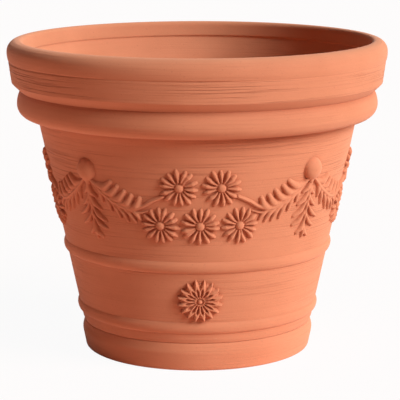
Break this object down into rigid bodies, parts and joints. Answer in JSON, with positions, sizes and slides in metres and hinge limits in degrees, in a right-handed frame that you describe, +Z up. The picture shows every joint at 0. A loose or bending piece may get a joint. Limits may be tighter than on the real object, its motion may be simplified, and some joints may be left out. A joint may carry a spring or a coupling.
{
  "type": "flower pot with saucer",
  "caption": "Round tapered terracotta flower pot with a heavy rolled rim, cords and a festoon of daisies and leaves in relief, standing in a close-fitting saucer that it lifts out of.",
  "frame": {"origin": "on the ground, under the middle of the saucer", "axes": "+Z up along the pot's axis, -Y towards the front bay, whose middle carries five daisies and a rosette"},
  "size_m": [0.4, 0.4, 0.329],
  "materials": {
    "terracotta": "matte, unglazed, with fine brushed lines"
  },
  "bodies": {
    "saucer": {"saucer": "terracotta"},
    "pot": {"boss_back_left": "terracotta", "boss_back_right": "terracotta", "boss_front_left": "terracotta", "boss_front_right": "terracotta", "daisy_back_lower_left": "terracotta", "daisy_back_lower_middle": "terracotta", "daisy_back_lower_right": "terracotta", "daisy_back_upper_left": "terracotta", "daisy_back_upper_right": "terracotta", "daisy_front_lower_left": "terracotta", "daisy_front_lower_middle": "terracotta", "daisy_front_lower_right": "terracotta", "daisy_front_upper_left": "terracotta", "daisy_front_upper_right": "terracotta", "daisy_left_lower_left": "terracotta", "daisy_left_lower_middle": "terracotta", "daisy_left_lower_right": "terracotta", "daisy_left_upper_left": "terracotta", "daisy_left_upper_right": "terracotta", "daisy_right_lower_left": "terracotta", "daisy_right_lower_middle": "terracotta", "daisy_right_lower_right": "terracotta", "daisy_right_upper_left": "terracotta", "daisy_right_upper_right": "terracotta", "frond_back_left": "terracotta", "frond_back_right": "terracotta", "frond_front_left": "terracotta", "frond_front_right": "terracotta", "garland_back_left": "terracotta", "garland_back_right": "terracotta", "garland_front_left": "terracotta", "garland_front_right": "terracotta", "garland_left_left": "terracotta", "garland_left_right": "terracotta", "garland_right_left": "terracotta", "garland_right_right": "terracotta", "lower_cord": "terracotta", "middle_cord": "terracotta", "pot_floor": "terracotta", "pot_wall": "terracotta", "rim_collar": "terracotta", "rim_roll": "terracotta", "rosette_back": "terracotta", "rosette_front": "terracotta"}
  },
  "joints": [
    {"name": "pot_lift", "type": "slide", "parent": "saucer", "child": "pot", "axis": [0, 0, 1], "range_m": [0, 0.08]}
  ]
}
